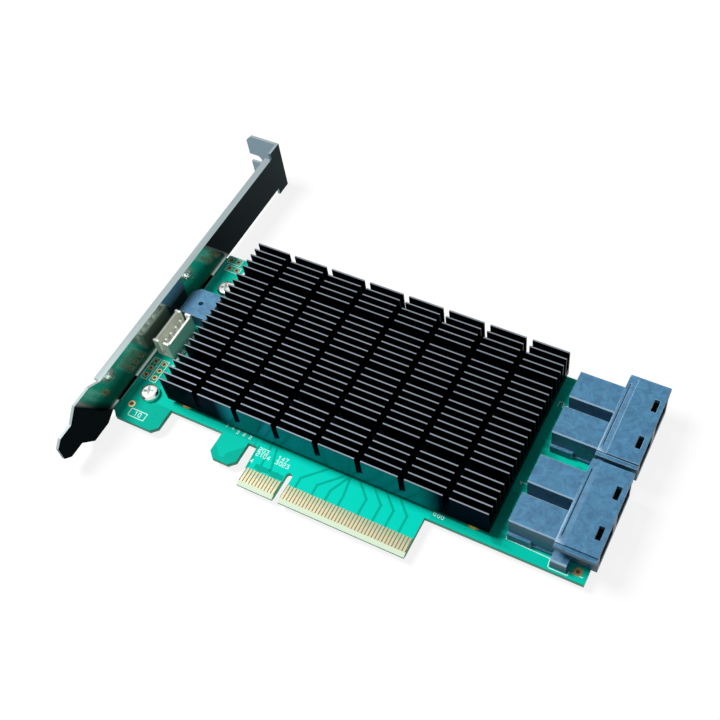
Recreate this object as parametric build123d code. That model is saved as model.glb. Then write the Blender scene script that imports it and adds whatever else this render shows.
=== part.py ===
from build123d import *
import os
from math import radians, tan

os.makedirs("parts", exist_ok=True)

# A storage host bus adapter: a low card with a long edge connector, a full height slot bracket,
# a cross-cut finned heatsink over its chips and two double storage ports at the far end.
# Frame: X runs from the bracket to the ports, Y from the card edge to the top edge and Z out of
# the component side. X is 0 at the middle of the key notch, Y at the lowest edge, Z on the board.

# Board
BOARD_T = 1.57
BOARD_LEFT = -57.8
BOARD_RIGHT = 83.6
BOARD_TOP = 68.9
BOARD_LOW = 12.35
FOOT_LOW = 4.1
FOOT_RIGHT = -42.3
FOOT_CUT = 1.8
TAB_LEFT = -24.46
TAB_RIGHT = -15.85
HOLD_NOTCH_TOP = 11.8
KEY_W = 1.9
KEY_TOP = 9.0
BEVEL_D = 1.3
BEVEL_ANGLE = 20.0

# Edge contacts
CONTACT_PITCH = 1.0
CONTACT_W = 0.7
CONTACT_L = 4.3
CONTACT_T = 0.05
FIRST_COUNT = 11
SECOND_COUNT = 38
KEY_TO_CONTACT = 1.5
TONGUE_MARGIN = 0.65

# Bracket, folded from one strip
SHEET_T = 0.86
SHEET_GAP = 0.3
BRACKET_FACE = -58.93
BRACKET_W = 18.42
BRACKET_LOW_Z = -3.75
BRACKET_TOP = 105.3
BRACKET_L = 120.02
FLANGE_INSET = 2.3
FLANGE_D = 2.3
FLANGE_FOOT = 6.7
FLANGE_HEAD = 101.0
WIDE_FOOT = 2.7
LOW_INSET = 0.35
TAPER_TOP = -3.9
TAPER_LOW = -7.7
TONGUE_W = 9.6
TONGUE_OFFSET = 0.2
TIP_CUT = 2.2
LUG_L = 12.29
LUG_CUT = 2.0
SLOT_W = 3.4
SLOT_D = 4.4
SLOT_OFFSET = -0.6
EAR_W = 9.0
EAR_L = 11.6
EAR_CORNER = 2.0

# Screws through the board into the bracket's ears
SCREW_X = -50.8
SCREW_YS = (14.4, 56.2)
SCREW_R = 1.5
SCREW_HEAD_R = 2.9
SCREW_HEAD_H = 2.1
SCREW_CLEAR = 0.15
SCREW_TAIL = 0.6
SCREW_CROWN = 0.62
RECESS_W = 0.7
RECESS_L = 3.0
RECESS_D = 1.2
RECESS_TURNS = (25, 115)

# Heatsink
SINK_LEFT = -43.96
SINK_COLUMNS = 8
SINK_COLUMN_W = 10.94
SINK_CUT_W = 1.89
SINK_BASE_Z = 2.2
SINK_BASE_T = 2.9
FIN_H = 7.2
FIN_T = 0.5
FIN_PITCH = 2.32
FIN_STARTS = (14.7, 27.42, 44.2, 59.2)
FIN_COUNTS = (5, 7, 6, 5)

# Heatsink fixings
FIX_INSET_X = 4.9
FIX_INSET_Y = 3.5
SPACER_R = 3.0
FIX_R = 1.25
FIX_CLEAR = 0.15
FIX_HEAD_R = 2.4
FIX_HEAD_H = 1.1
FIX_BITE = 2.0

# Chips under the heatsink, each as (x, y, side)
PAD_T = 0.5
SWITCH = (-8.0, 42.0, 21.0)
CONTROLLERS = ((34.0, 28.0, 15.0), (34.0, 56.0, 15.0))
CHIP_EDGE = 0.4
CARRIER_T = 0.56
FLASH_CHIPS = ((-33.0, 30.0), (-33.0, 42.0))
FLASH_SIZE = (5.0, 6.0, 1.5)
CRYSTALS = ((14.0, 34.0), (14.0, 50.0))
CRYSTAL_SIZE = (3.2, 5.0, 1.1)
REGULATORS = ((-32.0, 54.0), (13.0, 60.0), (50.0, 42.0))
REGULATOR_SIZE = (4.0, 4.0, 0.9)
INDUCTORS = ((-26.0, 54.0), (19.0, 61.5), (50.0, 49.0))
INDUCTOR_SIZE = (4.4, 4.4, 1.8)
CAP_SIZE = (2.0, 1.25, 1.2)
CAP_ROWS = ((-27.0, 25.0), (-4.0, 60.0), (22.0, 42.5))
CAP_COUNTS = (6, 4, 7)
CAP_STEP = 3.6
SMALL_PARTS = ((-50.3, 36.6), (-50.3, 34.2), (-50.1, 30.6), (-50.1, 28.2), (-50.0, 24.6), (-49.2, 63.2))
SMALL_SIZE = (0.8, 1.6, 0.7)

# White four way header
HEAD_X = -54.3
HEAD_Y = 33.8
HEAD_W = 5.6
HEAD_L = 12.4
HEAD_H = 7.0
HEAD_WALL = 0.8
HEAD_FLOOR = 2.2
HEAD_PINS = 4
HEAD_PITCH = 2.5
HEAD_SLIT_W = 1.6
HEAD_SLIT_FLOOR = 1.0
HEAD_SIDE_DROP = 0.6
PIN_W = 0.64
PIN_RISE = 5.6
PIN_TAIL = 1.2
PIN_CLEAR = 0.18

# Buzzer
BUZZER_X = -52.45
BUZZER_Y = 45.95
BUZZER_W = 9.8
BUZZER_H = 5.0
BUZZER_CUT = 2.0
BUZZER_HOLE_R = 0.75
BUZZER_HOLE_D = 1.5

# Unfilled header holes and plated tooling holes
HOLE_R = 0.5
HOLE_PITCH = 2.54
TRIPLE_XS = (-56.2, -53.15)
TRIPLE_Y = 19.8
PAIRS = ((-56.1, 67.4), (-54.9, 64.3))
TOOLING_HOLES = ((80.95, 15.0), (-54.1, 9.5))

# Double storage ports
PORT_Y = 28.45
PORT_GAP = 1.15
PORT_COUNT = 2
SOCKET_STEP = 12.15
SHROUD_BACK = 73.9
SHROUD_FRONT = 85.3
SHROUD_W = 25.1
SHROUD_H = 10.2
SHROUD_FOOT_H = 7.0
SHROUD_FOOT_INSET = 0.9
RAIL_W = 1.1
RAIL_H = 1.5
RAIL_DROP = 0.9
LIP_H = 0.35
LIP_W = 2.6
SLIT_X = 0.85
SLIT_W = 0.3
SLIT_D = 0.5
SLIT_INSET = 2.2
SOCKET_W = 9.6
SOCKET_H = 6.6
SOCKET_FLOOR = 2.2
SHROUD_WALL = 1.4
WINDOW_W = 3.9
WINDOW_L = 1.5
WINDOW_EDGE = 1.35
WINDOW_DROP = 1.0
EAR_BLOCK_L = 4.4
EAR_BLOCK_W = 2.6
EAR_BLOCK_H = 4.0
EAR_BLOCK_EDGE = 0.5
CASE_BACK = 61.2
CASE_SHIFT = -1.3
CASE_W = 21.0
HUMP_W = 9.0
HUMP_H = 9.3
HUMP_EDGE = 0.35
CASE_FLOOR = 2.4
CASE_STEP = 0.9
STEP_L = 6.5
STEP_H = 3.1
STEP_R = 0.6
SKIRT_H = 1.3
SKIRT_W = 0.45
CASE_GAP = 0.05
BLADES = 9
BLADE_PITCH = 0.9
BLADE_W = 0.4
BLADE_T = 0.25
BLADE_L = 4.2
BLADE_ROWS = (4.7, 6.3)
TAIL_ROWS = 4
TAIL_STEP = 2.6
TAIL_W = 0.4
TAIL_DOWN = 1.1
TAIL_START = 2.4
PEG_R = 0.8
PEG_DOWN = 1.2
PEG_CLEAR = 0.1
PEG_INSET = 2.1

# How far a cut runs past the surface it leaves
PAST = 1.0

BRACKET_HIGH_Z = BRACKET_LOW_Z + BRACKET_W
BRACKET_TIP = BRACKET_TOP - BRACKET_L
SINK_PITCH = SINK_COLUMN_W + SINK_CUT_W
SINK_RIGHT = SINK_LEFT + SINK_COLUMNS * SINK_PITCH - SINK_CUT_W
FIN_YS = [start + k * FIN_PITCH for start, count in zip(FIN_STARTS, FIN_COUNTS) for k in range(count)]
SINK_FRONT = FIN_YS[0] - FIN_T / 2
SINK_REAR = FIN_YS[-1] + FIN_T / 2
FIX_XS = (SINK_LEFT + FIX_INSET_X, SINK_RIGHT - FIX_INSET_X)
FIX_YS = (SINK_FRONT + FIX_INSET_Y, SINK_REAR - FIX_INSET_Y)
TONGUE_LEFT = -(KEY_TO_CONTACT + (FIRST_COUNT - 1) * CONTACT_PITCH + TONGUE_MARGIN)
TONGUE_RIGHT = KEY_TO_CONTACT + (SECOND_COUNT - 1) * CONTACT_PITCH + TONGUE_MARGIN
CASE_FRONT = SHROUD_BACK - CASE_GAP
PORT_STEP = SHROUD_W + 2 * RAIL_W + PORT_GAP
PORT_YS = [PORT_Y + k * PORT_STEP for k in range(PORT_COUNT)]
FIX_POINTS = [(x, y) for x in FIX_XS for y in FIX_YS]


def block(x0, x1, y0, y1, z0, z1):
    """A box given by its faces along each axis."""
    return Pos((x0 + x1) / 2, (y0 + y1) / 2, (z0 + z1) / 2) * Box(x1 - x0, y1 - y0, z1 - z0)


def post(x, y, r, z0, z1):
    """An upright cylinder from z0 to z1."""
    return Pos(x, y, (z0 + z1) / 2) * Cylinder(r, z1 - z0)


def chip(x, y, size, z0=0.0):
    """A flat package of the given size on the plane z0."""
    return Pos(x, y, z0 + size[2] / 2) * Box(*size)


def flat(points, z0, z1):
    """A plate with the given outline in X and Y, from z0 up to z1."""
    return Pos(0, 0, z0) * extrude(make_face(Polyline(*points, close=True)), amount=z1 - z0)


def save(shape, name):
    """Write one sub-part, named as its node."""
    shape.label = name
    export_step(shape, f"parts/{name}.step")


def group(shapes):
    """Separate solids kept together in one node."""
    return Compound(children=list(shapes))


def port_columns(centre):
    """The Y of each contact column of both sockets of a double port."""
    for side in (-0.5, 0.5):
        middle = centre + side * SOCKET_STEP
        for k in range(BLADES):
            yield middle + (k - (BLADES - 1) / 2) * BLADE_PITCH


def board_outline():
    """The card's edge, counter-clockwise from the foot's left end."""
    return [
        (BOARD_LEFT, FOOT_LOW + FOOT_CUT), (BOARD_LEFT + FOOT_CUT, FOOT_LOW),
        (FOOT_RIGHT - FOOT_CUT, FOOT_LOW), (FOOT_RIGHT, FOOT_LOW + FOOT_CUT), (FOOT_RIGHT, BOARD_LOW),
        (TAB_LEFT, BOARD_LOW), (TAB_LEFT, FOOT_LOW + FOOT_CUT), (TAB_LEFT + FOOT_CUT, FOOT_LOW),
        (TAB_RIGHT - FOOT_CUT, FOOT_LOW), (TAB_RIGHT, FOOT_LOW + FOOT_CUT),
        (TAB_RIGHT, BOARD_LOW), (TONGUE_LEFT, BOARD_LOW), (TONGUE_LEFT, 0),
        (TONGUE_RIGHT, 0), (TONGUE_RIGHT, BOARD_LOW), (BOARD_RIGHT, BOARD_LOW),
        (BOARD_RIGHT, BOARD_TOP), (BOARD_LEFT, BOARD_TOP),
    ]


def round_slot(x0, x1, y0, y1):
    """A cut open at y0 with a full round end that reaches y1."""
    r = (x1 - x0) / 2
    cut = block(x0, x1, y0 - PAST, y1 - r, -2 * BOARD_T, BOARD_T)
    return cut + post(x0 + r, y1 - r, r, -2 * BOARD_T, BOARD_T)


def bevel(side):
    """The wedge cut off the insertion edge on the top (1) or underside (-1)."""
    depth = BEVEL_D * tan(radians(BEVEL_ANGLE))
    surface = 0.0 if side > 0 else -BOARD_T
    wedge = Polyline((0, surface + side * PAST), (0, surface - side * depth), (BEVEL_D, surface),
                     (BEVEL_D, surface + side * PAST), close=True)
    face = make_face(Plane.YZ * wedge)
    reach = TONGUE_RIGHT - TONGUE_LEFT + 2 * PAST
    return Pos(TONGUE_LEFT - PAST, 0, 0) * extrude(face, amount=reach, dir=(1, 0, 0))


def circuit_board():
    board = flat(board_outline(), -BOARD_T, 0)
    board -= round_slot(TAB_RIGHT, TONGUE_LEFT, BOARD_LOW - 2, HOLD_NOTCH_TOP)
    board -= round_slot(-KEY_W / 2, KEY_W / 2, 0, KEY_TOP)
    board -= bevel(1)
    board -= bevel(-1)
    holes = [(SCREW_X, y, SCREW_R + SCREW_CLEAR) for y in SCREW_YS]
    holes += [(x, y, FIX_R + FIX_CLEAR) for x, y in FIX_POINTS]
    holes += [(x, TRIPLE_Y + k * HOLE_PITCH, HOLE_R) for x in TRIPLE_XS for k in range(3)]
    holes += [(x + k * HOLE_PITCH, y, HOLE_R) for x, y in PAIRS for k in range(2)]
    holes += [(x, y, HOLE_R) for x, y in TOOLING_HOLES]
    holes += [(HEAD_X, y, PIN_W / 2 + PIN_CLEAR) for y in header_ys()]
    holes += [(x, y, PEG_R + PEG_CLEAR) for centre in PORT_YS for x, y in peg_points(centre)]
    for x, y, r in holes:
        board -= post(x, y, r, -2 * BOARD_T, BOARD_T)
    board -= group(port_tail_slots())
    return board


def port_tail_slots():
    """One slit through the board for each row of port tails, wide enough for the pins."""
    half = TAIL_W / 2 + PEG_CLEAR
    for centre in PORT_YS:
        for side in (-0.5, 0.5):
            middle = centre + CASE_SHIFT + side * SOCKET_STEP
            reach = (BLADES - 1) / 2 * BLADE_PITCH + half
            for x in tail_xs():
                yield block(x - half, x + half, middle - reach, middle + reach, -2 * BOARD_T, BOARD_T)


def edge_contacts(side):
    """The gold fingers of one face, in the two sections beside the key notch."""
    z0 = 0.0 if side > 0 else -BOARD_T - CONTACT_T
    first = [-KEY_TO_CONTACT - k * CONTACT_PITCH for k in range(FIRST_COUNT)]
    second = [KEY_TO_CONTACT + k * CONTACT_PITCH for k in range(SECOND_COUNT)]
    half = CONTACT_W / 2
    y0 = BEVEL_D
    return group(block(x - half, x + half, y0, y0 + CONTACT_L, z0, z0 + CONTACT_T) for x in first + second)


def bracket_blank():
    """The flat face of the bracket in Y and Z, with its tapered foot and inset middle."""
    high, low = BRACKET_HIGH_Z, BRACKET_LOW_Z
    tongue_low = low + (BRACKET_W - TONGUE_W) / 2 + TONGUE_OFFSET
    tongue_high = tongue_low + TONGUE_W
    in_high = high - FLANGE_INSET
    in_low = low + FLANGE_INSET + LOW_INSET
    points = [
        (BRACKET_TIP, tongue_low + TIP_CUT), (BRACKET_TIP + TIP_CUT, tongue_low),
        (TAPER_LOW, tongue_low), (TAPER_TOP, low), (WIDE_FOOT, low), (FLANGE_FOOT, in_low),
        (FLANGE_HEAD, in_low), (FLANGE_HEAD, low), (BRACKET_TOP, low), (BRACKET_TOP, high),
        (FLANGE_HEAD, high), (FLANGE_HEAD, in_high), (FLANGE_FOOT, in_high), (WIDE_FOOT, high),
        (TAPER_TOP, high), (TAPER_LOW, tongue_high), (BRACKET_TIP + TIP_CUT, tongue_high),
        (BRACKET_TIP, tongue_high - TIP_CUT),
    ]
    face = make_face(Plane.YZ * Polyline(*points, close=True))
    return Pos(BRACKET_FACE, 0, 0) * extrude(face, amount=SHEET_T, dir=(-1, 0, 0))


def bracket():
    outer = BRACKET_FACE - SHEET_T
    in_high = BRACKET_HIGH_Z - FLANGE_INSET
    in_low = BRACKET_LOW_Z + FLANGE_INSET + LOW_INSET
    body = bracket_blank()
    y0, y1 = FLANGE_FOOT + SHEET_GAP, FLANGE_HEAD - SHEET_GAP
    flange_end = outer - FLANGE_D + SHEET_T
    body += block(flange_end, BRACKET_FACE, y0, y1, in_high - SHEET_T, in_high)
    body += block(flange_end, BRACKET_FACE, y0, y1, in_low, in_low + SHEET_T)
    body += bracket_lug()
    for y in SCREW_YS:
        body += bracket_ear(y, in_low)
    return body


def bracket_lug():
    """The lug folded over at the top, with the open slot for the case screw."""
    x1 = BRACKET_FACE
    x0 = x1 - LUG_L
    low, high = BRACKET_LOW_Z, BRACKET_HIGH_Z
    points = [
        (x1, low), (x1, high), (x0 + LUG_CUT, high), (x0, high - LUG_CUT), (x0, low + LUG_CUT),
        (x0 + LUG_CUT, low),
    ]
    face = make_face(Plane.XZ * Polyline(*points, close=True))
    lug = Pos(0, BRACKET_TOP, 0) * extrude(face, amount=SHEET_T, dir=(0, 1, 0))
    middle = (low + high) / 2 + SLOT_OFFSET
    r = SLOT_W / 2
    y0, y1 = BRACKET_TOP - PAST, BRACKET_TOP + SHEET_T + PAST
    lug -= block(x0 - PAST, x0 + SLOT_D - r, y0, y1, middle - r, middle + r)
    lug -= Pos(x0 + SLOT_D - r, BRACKET_TOP, middle) * Rot(90, 0, 0) * Cylinder(r, 4 * SHEET_T)
    return lug


def bracket_ear(y, in_low):
    """A threaded ear folded inwards under the board, joined to the face by its bend."""
    top = -BOARD_T
    x0, x1 = BRACKET_FACE - SHEET_T, BRACKET_FACE + EAR_L
    y0, y1 = y - EAR_W / 2, y + EAR_W / 2
    points = [
        (x0, y0), (x1 - EAR_CORNER, y0), (x1, y0 + EAR_CORNER), (x1, y1 - EAR_CORNER),
        (x1 - EAR_CORNER, y1), (x0, y1),
    ]
    ear = flat(points, top - SHEET_T, top)
    ear += block(x0, BRACKET_FACE, y0, y1, top - SHEET_T, in_low + SHEET_T)
    return ear - post(SCREW_X, y, SCREW_R, top - SHEET_T - PAST, top + PAST)


def bracket_screw(y):
    """A pan head screw with a cross recess, seated on the board."""
    crown = SCREW_HEAD_H * SCREW_CROWN
    head = post(SCREW_X, y, SCREW_HEAD_R, 0, SCREW_HEAD_H)
    head = fillet(head.edges().filter_by(GeomType.CIRCLE).sort_by(Axis.Z)[-1], crown)
    tail = -BOARD_T - SHEET_T - SCREW_TAIL
    screw = head + post(SCREW_X, y, SCREW_R, tail, 0)
    for angle in RECESS_TURNS:
        cut = Pos(SCREW_X, y, SCREW_HEAD_H) * Rot(0, 0, angle) * Box(RECESS_L, RECESS_W, 2 * RECESS_D)
        screw -= cut
    return screw


def heatsink():
    """One extruded comb of fins, cross-cut into columns and tapped for its four screws."""
    base = SINK_BASE_Z
    floor = base + SINK_BASE_T
    points = [(SINK_FRONT, base), (SINK_REAR, base)]
    for y in reversed(FIN_YS):
        far, near = y + FIN_T / 2, y - FIN_T / 2
        points += [(far, floor), (far, floor + FIN_H), (near, floor + FIN_H), (near, floor)]
    points.remove((SINK_REAR, floor))
    points.remove((SINK_FRONT, floor))
    face = make_face(Plane.YZ * Polyline(*points, close=True))
    comb = Pos(SINK_LEFT, 0, 0) * extrude(face, amount=SINK_RIGHT - SINK_LEFT, dir=(1, 0, 0))
    for k in range(1, SINK_COLUMNS):
        x1 = SINK_LEFT + k * SINK_PITCH
        comb -= block(x1 - SINK_CUT_W, x1, SINK_FRONT - PAST, SINK_REAR + PAST, floor, floor + FIN_H + PAST)
    for x, y in FIX_POINTS:
        comb -= post(x, y, FIX_R, base - PAST, base + FIX_BITE)
    return comb


def heatsink_spacer(x, y):
    return post(x, y, SPACER_R, 0, SINK_BASE_Z) - post(x, y, FIX_R + FIX_CLEAR, -PAST, SINK_BASE_Z + PAST)


def heatsink_screw(x, y):
    """A low head screw that comes up through the board into the heatsink."""
    head = post(x, y, FIX_HEAD_R, -BOARD_T - FIX_HEAD_H, -BOARD_T)
    return head + post(x, y, FIX_R, -BOARD_T, SINK_BASE_Z + FIX_BITE)


def cooled_chip(x, y, side):
    """A ball grid package: thin carrier and a smaller moulded cap that meets its thermal pad."""
    cap_h = SINK_BASE_Z - PAD_T - CARRIER_T
    cap_side = side - 2 * CHIP_EDGE
    return chip(x, y, (side, side, CARRIER_T)) + chip(x, y, (cap_side, cap_side, cap_h), CARRIER_T)


def thermal_pad(x, y, side):
    return chip(x, y, (side - 2 * CHIP_EDGE, side - 2 * CHIP_EDGE, PAD_T), SINK_BASE_Z - PAD_T)


def header_ys():
    return [HEAD_Y + (k - (HEAD_PINS - 1) / 2) * HEAD_PITCH for k in range(HEAD_PINS)]


def header_housing():
    """The open shroud: its side walls stand a little below the corner posts, with a slit in each end."""
    x0, x1 = HEAD_X - HEAD_W / 2, HEAD_X + HEAD_W / 2
    y0, y1 = HEAD_Y - HEAD_L / 2, HEAD_Y + HEAD_L / 2
    body = block(x0, x1, y0, y1, 0, HEAD_H)
    inner0, inner1 = y0 + HEAD_WALL, y1 - HEAD_WALL
    slit = HEAD_SLIT_W / 2
    body -= block(x0 + HEAD_WALL, x1 - HEAD_WALL, inner0, inner1, HEAD_FLOOR, HEAD_H + PAST)
    body -= block(HEAD_X - slit, HEAD_X + slit, y0 - PAST, inner0, HEAD_SLIT_FLOOR, HEAD_H + PAST)
    body -= block(HEAD_X - slit, HEAD_X + slit, inner1, y1 + PAST, HEAD_SLIT_FLOOR, HEAD_H + PAST)
    body -= block(x0 - PAST, x1 + PAST, inner0, inner1, HEAD_H - HEAD_SIDE_DROP, HEAD_H + PAST)
    half = PIN_W / 2
    for y in header_ys():
        body -= block(HEAD_X - half, HEAD_X + half, y - half, y + half, -PAST, HEAD_H)
    return body


def header_pin(y):
    half = PIN_W / 2
    return block(HEAD_X - half, HEAD_X + half, y - half, y + half, -BOARD_T - PIN_TAIL, PIN_RISE)


def buzzer():
    """A square sounder with one cut corner and its sound hole."""
    half = BUZZER_W / 2
    points = [
        (-half, -half), (half, -half), (half, half), (-half + BUZZER_CUT, half),
        (-half, half - BUZZER_CUT),
    ]
    body = Pos(BUZZER_X, BUZZER_Y, 0) * flat(points, 0, BUZZER_H)
    return body - post(BUZZER_X, BUZZER_Y, BUZZER_HOLE_R, BUZZER_H - BUZZER_HOLE_D, BUZZER_H + PAST)


def tail_xs():
    return [CASE_BACK + TAIL_START + k * TAIL_STEP for k in range(TAIL_ROWS)]


def peg_points(centre):
    """A locating peg under the ear of a double port and one under its other side."""
    x = SHROUD_BACK + EAR_BLOCK_L / 2
    return [(x, centre - SHROUD_W / 2 - EAR_BLOCK_W / 2), (x, centre + SHROUD_W / 2 - PEG_INSET)]


def port_shroud(centre):
    """The front moulding: two sockets with latch windows, a rail along each side and one board ear."""
    y0, y1 = centre - SHROUD_W / 2, centre + SHROUD_W / 2
    body = block(SHROUD_BACK, SHROUD_FRONT, y0, y1, SHROUD_FOOT_H, SHROUD_H - LIP_H)
    body += block(SHROUD_BACK, SHROUD_FRONT, y0 + SHROUD_FOOT_INSET, y1 - SHROUD_FOOT_INSET, 0, SHROUD_FOOT_H)
    body += block(SHROUD_BACK + LIP_W, SHROUD_FRONT, y0, y1, SHROUD_H - LIP_H, SHROUD_H)
    slit_x = SHROUD_BACK + SLIT_X
    body -= block(slit_x, slit_x + SLIT_W, y0 + SLIT_INSET, y1 - SLIT_INSET, SHROUD_H - LIP_H - SLIT_D,
                  SHROUD_H + PAST)
    rail_top = SHROUD_H - RAIL_DROP
    for side in (-1, 1):
        edge = centre + side * SHROUD_W / 2
        low, high = sorted((edge, edge + side * RAIL_W))
        body += block(SHROUD_BACK, SHROUD_FRONT, low, high, rail_top - RAIL_H, rail_top)
    ear_y = y0 - EAR_BLOCK_W
    ear = block(SHROUD_BACK, SHROUD_BACK + EAR_BLOCK_L, ear_y, y0 + SHROUD_FOOT_INSET, 0, EAR_BLOCK_H)
    body += chamfer(ear.edges().filter_by(Axis.X).group_by(Axis.Y)[0].sort_by(Axis.Z)[-1], EAR_BLOCK_EDGE)
    for side in (-0.5, 0.5):
        middle = centre + side * SOCKET_STEP
        w = SOCKET_W / 2
        body -= block(SHROUD_BACK + SHROUD_WALL, SHROUD_FRONT + PAST, middle - w, middle + w,
                      SOCKET_FLOOR, SOCKET_FLOOR + SOCKET_H)
        x1 = SHROUD_FRONT - WINDOW_EDGE
        body -= block(x1 - WINDOW_L, x1, middle - WINDOW_W / 2, middle + WINDOW_W / 2,
                      SHROUD_H - WINDOW_DROP - SHROUD_WALL, SHROUD_H + PAST)
    for x, y in peg_points(centre):
        body += post(x, y, PEG_R, -BOARD_T - PEG_DOWN, 0)
    return body


def port_case(centre):
    """The rear moulding that carries the contacts: two humps on a stepped floor."""
    middle = centre + CASE_SHIFT
    y0, y1 = middle - CASE_W / 2, middle + CASE_W / 2
    body = block(CASE_BACK, CASE_FRONT, y0, y1, 0, CASE_FLOOR)
    for side in (-0.5, 0.5):
        hump = middle + side * SOCKET_STEP
        solid = block(CASE_BACK, CASE_FRONT, hump - HUMP_W / 2, hump + HUMP_W / 2, 0, HUMP_H)
        edges = solid.edges().filter_by(Axis.X).group_by(Axis.Z)[-1]
        body += chamfer(edges, HUMP_EDGE)
    for side in (-1, 1):
        edge = middle + side * CASE_W / 2
        low, high = sorted((edge, edge + side * CASE_STEP))
        ledge = block(CASE_BACK, CASE_BACK + STEP_L, low, high, 0, STEP_H)
        tip = ledge.edges().filter_by(Axis.Z).group_by(Axis.X)[-1].sort_by(Axis.Y)
        body += fillet(tip[0 if side < 0 else -1], STEP_R)
        low, high = sorted((edge, edge + side * SKIRT_W))
        body += block(CASE_BACK, CASE_FRONT, low, high, 0, SKIRT_H)
    return body


def port_contacts(centre):
    """What shows of the moulded-in contacts: blades in the sockets and tails through the board."""
    x0 = SHROUD_BACK + SHROUD_WALL
    for y in port_columns(centre):
        for z in BLADE_ROWS:
            yield block(x0, x0 + BLADE_L, y - BLADE_W / 2, y + BLADE_W / 2, z, z + BLADE_T)
    half = TAIL_W / 2
    for y in port_columns(centre + CASE_SHIFT):
        for x in tail_xs():
            yield block(x - half, x + half, y - half, y + half, -BOARD_T - TAIL_DOWN, 0)


def capacitor_points():
    return [(x + k * CAP_STEP, y) for (x, y), count in zip(CAP_ROWS, CAP_COUNTS) for k in range(count)]


save(circuit_board(), "circuit_board")
save(edge_contacts(1), "edge_contacts_top")
save(edge_contacts(-1), "edge_contacts_bottom")
save(bracket(), "slot_bracket")
save(group(bracket_screw(y) for y in SCREW_YS), "bracket_screws")
save(heatsink(), "heatsink")
save(group(heatsink_spacer(x, y) for x, y in FIX_POINTS), "heatsink_spacers")
save(group(heatsink_screw(x, y) for x, y in FIX_POINTS), "heatsink_screws")
save(cooled_chip(*SWITCH), "switch_chip")
save(group(cooled_chip(*place) for place in CONTROLLERS), "controller_chips")
save(group(thermal_pad(*place) for place in (SWITCH,) + CONTROLLERS), "thermal_pads")
save(group(chip(x, y, FLASH_SIZE) for x, y in FLASH_CHIPS), "flash_chips")
save(group(chip(x, y, CRYSTAL_SIZE) for x, y in CRYSTALS), "clock_crystals")
save(group(chip(x, y, REGULATOR_SIZE) for x, y in REGULATORS), "regulator_chips")
save(group(chip(x, y, INDUCTOR_SIZE) for x, y in INDUCTORS), "power_inductors")
save(group(chip(x, y, CAP_SIZE) for x, y in capacitor_points()), "ceramic_capacitors")
save(group(chip(x, y, SMALL_SIZE) for x, y in SMALL_PARTS), "chip_resistors")
save(header_housing(), "header_housing")
save(group(header_pin(y) for y in header_ys()), "header_pins")
save(buzzer(), "buzzer")
for number, centre in enumerate(PORT_YS, start=1):
    save(port_shroud(centre), f"port_{number}_shroud")
    save(port_case(centre), f"port_{number}_contact_case")
    save(group(port_contacts(centre)), f"port_{number}_contacts")
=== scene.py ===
from math import cos, radians, sin

import bmesh
import bpy
import numpy as np
from mathutils import Matrix, Vector


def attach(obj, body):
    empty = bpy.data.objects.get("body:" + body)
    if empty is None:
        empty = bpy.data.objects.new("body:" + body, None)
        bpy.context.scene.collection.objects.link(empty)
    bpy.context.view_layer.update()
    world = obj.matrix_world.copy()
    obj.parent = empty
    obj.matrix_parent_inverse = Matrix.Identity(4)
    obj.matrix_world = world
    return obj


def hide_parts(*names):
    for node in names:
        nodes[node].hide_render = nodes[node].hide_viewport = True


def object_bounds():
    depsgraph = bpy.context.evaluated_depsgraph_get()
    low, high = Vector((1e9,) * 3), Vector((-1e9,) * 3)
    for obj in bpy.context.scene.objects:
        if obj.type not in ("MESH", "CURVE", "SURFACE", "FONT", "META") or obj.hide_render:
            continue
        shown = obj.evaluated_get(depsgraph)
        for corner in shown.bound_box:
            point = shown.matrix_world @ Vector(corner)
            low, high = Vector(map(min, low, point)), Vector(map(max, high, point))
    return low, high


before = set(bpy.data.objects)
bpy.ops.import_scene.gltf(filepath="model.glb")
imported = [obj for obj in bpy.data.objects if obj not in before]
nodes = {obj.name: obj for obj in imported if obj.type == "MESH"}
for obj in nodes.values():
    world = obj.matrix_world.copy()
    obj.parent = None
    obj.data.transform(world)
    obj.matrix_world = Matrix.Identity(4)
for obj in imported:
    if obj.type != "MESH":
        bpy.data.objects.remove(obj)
cad_low, cad_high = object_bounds()
MM = 0.001

# Circuit board: epoxy and glass laminate with copper on both faces, routed to its outline and
# bevelled at the tongue. Green solder mask is flowed over it and cured, so it looks pale on bare
# laminate and deeper over copper; the routed edges and the bevel show the laminate itself. The
# edges' pale green is the laminate's own tone raised by a painted highlight.
MASK_CLEAR = "#02CAB4"
MASK_COPPER = "#04BBA3"
MASK_PLANE = "#05A891"
MASK_DEEP = "#04806C"
MASK_ROUGHNESS = 0.4
MASK_SPECULAR = 0.02
BEVEL_GREEN = "#D2E2C8"
BETWEEN_GREEN = "#6E7E60"
EDGE_LAMINATE_AND_HIGHLIGHT = "#6BEBC8"
EDGE_TAN = "#B4DCC0"
BEVEL_END = 1.3 * MM
EDGE_TAN_TOP = -1.15 * MM
MASK_END = 5.6 * MM
TONGUE_LEFT = -13.5 * MM
TONGUE_RIGHT = 40.5 * MM
CLEAR_TOP = 14.0 * MM
POUR_SIZE = 14.0 * MM
POUR_SPREAD = 0.8
POUR_SPLIT = (0.35, 0.4)
VIA_STEP = 3.1 * MM
VIA_SPREAD = 0.7
VIA_R = 0.28 * MM
VIA_CORE = 0.6
VIA_DEPTH = 0.6
ORANGE_PEEL = 0.9 * MM
ORANGE_PEEL_RELIEF = 0.01 * MM
ORANGE_PEEL_STRENGTH = 0.4
SOFT_DETAIL = 3.0
ZONE_BLUR = 0.1 * MM
WIDE_BLUR = 0.2 * MM
FLAT_NORMAL = (0.5, 0.6)


def linear(hex_colour):
    """An sRGB hex colour as the linear RGBA that a shader socket takes.

    Dark values are divided by 12.92, and the others are shifted and raised to the power 2.4.
    """
    srgb = np.array([int(hex_colour[i:i + 2], 16) for i in (1, 3, 5)]) / 255
    flat = np.where(srgb <= 0.04045, srgb / 12.92, ((srgb + 0.055) / 1.055) ** 2.4)
    return (*flat, 1.0)


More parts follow.
